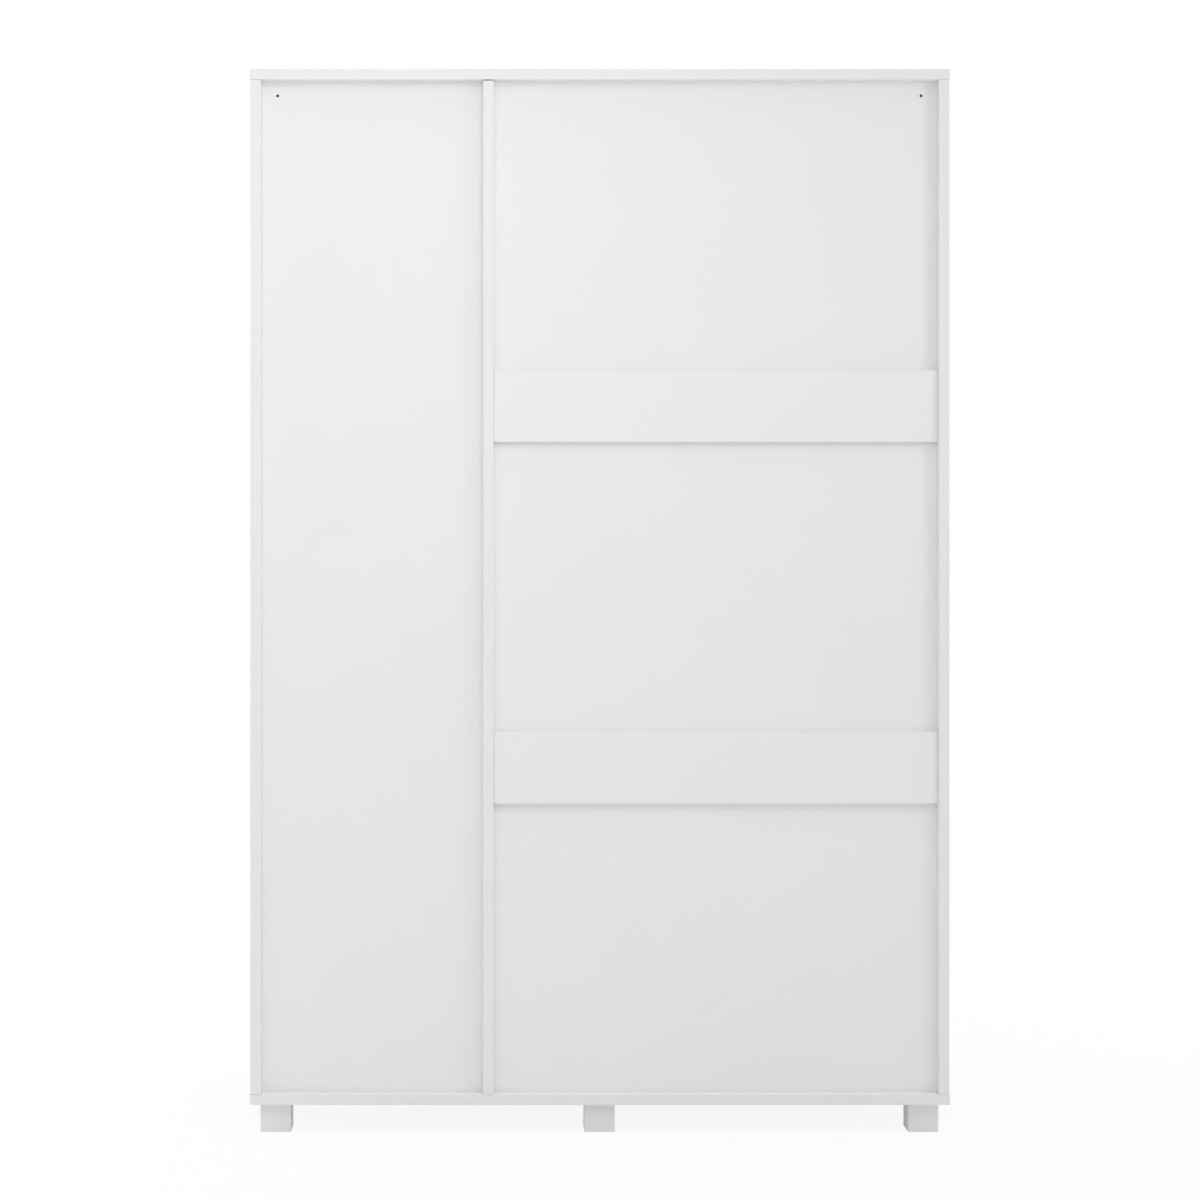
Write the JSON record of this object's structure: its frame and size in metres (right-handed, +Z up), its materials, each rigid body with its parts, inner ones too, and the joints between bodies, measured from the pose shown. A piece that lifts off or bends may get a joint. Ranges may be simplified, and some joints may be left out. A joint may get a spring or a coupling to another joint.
{
  "type": "sliding door wardrobe",
  "caption": "White sliding door wardrobe on block feet: a wide hanging bay, a narrow shelf bay, recessed back sheets with cross rails, and flush-pull doors on grooved rollers.",
  "frame": {"origin": "on the floor under the middle of the cabinet", "axes": "+Z up, +Y from the doors to the back, +X to the right seen from the front"},
  "size_m": [1.2, 0.55, 1.825],
  "materials": {
    "white_melamine_board": "white melamine faced chipboard with matching edge banding, fine matt grain",
    "white_back_sheet": "thin white lacquered hardboard, smooth and matt",
    "white_moulded_foot": "white moulded plastic, matt",
    "zinc_plated_steel": "bright zinc plated steel",
    "white_nylon": "natural white moulded nylon",
    "anodised_aluminium": "extruded aluminium, natural anodised, fine lines along its length",
    "satin_aluminium": "satin anodised aluminium",
    "beech_dowel": "plain fluted beech",
    "cast_zinc_cam": "die cast zinc, dull",
    "white_plastic_cap": "white push-in plastic cap, matt",
    "chromed_tube": "chromed steel tube and cast sockets, bright",
    "clear_rubber": "clear soft polyurethane bumper"
  },
  "bodies": {
    "carcass": {"top_panel": "white_melamine_board", "bottom_panel": "white_melamine_board", "left_side_panel": "white_melamine_board", "right_side_panel": "white_melamine_board", "divider_panel": "white_melamine_board", "cam_locks": "cast_zinc_cam", "cam_bolts": "zinc_plated_steel", "cam_caps": "white_plastic_cap", "wood_dowels": "beech_dowel", "back_sheet_narrow": "white_back_sheet", "back_sheet_lower": "white_back_sheet", "back_sheet_middle": "white_back_sheet", "back_sheet_upper": "white_back_sheet", "back_rail_lower": "white_melamine_board", "rail_dowels": "beech_dowel", "back_rail_upper": "white_melamine_board", "hat_shelf": "white_melamine_board", "adjustable_shelf_1": "white_melamine_board", "shelf_pins": "zinc_plated_steel", "adjustable_shelf_2": "white_melamine_board", "fixed_shelf": "white_melamine_board", "adjustable_shelf_3": "white_melamine_board", "hanging_rod": "chromed_tube", "rod_socket_left": "chromed_tube", "rod_socket_screws": "zinc_plated_steel", "rod_socket_right": "chromed_tube", "bottom_track": "anodised_aluminium", "top_track": "anodised_aluminium", "track_screws": "zinc_plated_steel", "front_left_foot": "white_moulded_foot", "foot_screws": "zinc_plated_steel", "front_centre_foot": "white_moulded_foot", "front_right_foot": "white_moulded_foot", "rear_left_foot": "white_moulded_foot", "rear_centre_foot": "white_moulded_foot", "rear_right_foot": "white_moulded_foot", "door_bumpers": "clear_rubber"},
    "outer_door": {"outer_door_panel": "white_melamine_board", "outer_door_pull": "satin_aluminium", "outer_door_left_carriage": "white_nylon", "outer_door_axles": "zinc_plated_steel", "outer_door_screws": "zinc_plated_steel", "outer_door_left_guide": "white_nylon", "outer_door_right_carriage": "white_nylon", "outer_door_right_guide": "white_nylon"},
    "outer_door_left_roller": {"outer_door_left_roller": "white_nylon"},
    "outer_door_right_roller": {"outer_door_right_roller": "white_nylon"},
    "inner_door": {"inner_door_panel": "white_melamine_board", "inner_door_pull": "satin_aluminium", "inner_door_left_carriage": "white_nylon", "inner_door_axles": "zinc_plated_steel", "inner_door_screws": "zinc_plated_steel", "inner_door_left_guide": "white_nylon", "inner_door_right_carriage": "white_nylon", "inner_door_right_guide": "white_nylon"},
    "inner_door_left_roller": {"inner_door_left_roller": "white_nylon"},
    "inner_door_right_roller": {"inner_door_right_roller": "white_nylon"}
  },
  "joints": [
    {"name": "outer_door_slide", "type": "slide", "parent": "carcass", "child": "outer_door", "axis": [1, 0, 0], "range_m": [0, 0.5577]},
    {"name": "inner_door_slide", "type": "slide", "parent": "carcass", "child": "inner_door", "axis": [1, 0, 0], "range_m": [-0.5577, 0]},
    {"name": "outer_door_left_roller_spin", "type": "hinge", "parent": "outer_door", "child": "outer_door_left_roller", "pos_m": [-0.4877, -0.26, 0.0872], "axis": [0, 1, 0], "continuous": true},
    {"name": "outer_door_right_roller_spin", "type": "hinge", "parent": "outer_door", "child": "outer_door_right_roller", "pos_m": [-0.07, -0.26, 0.0872], "axis": [0, 1, 0], "continuous": true},
    {"name": "inner_door_left_roller_spin", "type": "hinge", "parent": "inner_door", "child": "inner_door_left_roller", "pos_m": [0.07, -0.236, 0.0872], "axis": [0, 1, 0], "continuous": true},
    {"name": "inner_door_right_roller_spin", "type": "hinge", "parent": "inner_door", "child": "inner_door_right_roller", "pos_m": [0.4877, -0.236, 0.0872], "axis": [0, 1, 0], "continuous": true}
  ],
  "couplings": [
    {"joint": "outer_door_left_roller_spin", "follows": "outer_door_slide", "rad_per_m": 90.909},
    {"joint": "outer_door_right_roller_spin", "follows": "outer_door_slide", "rad_per_m": 90.909},
    {"joint": "inner_door_left_roller_spin", "follows": "inner_door_slide", "rad_per_m": 90.909},
    {"joint": "inner_door_right_roller_spin", "follows": "inner_door_slide", "rad_per_m": 90.909}
  ]
}
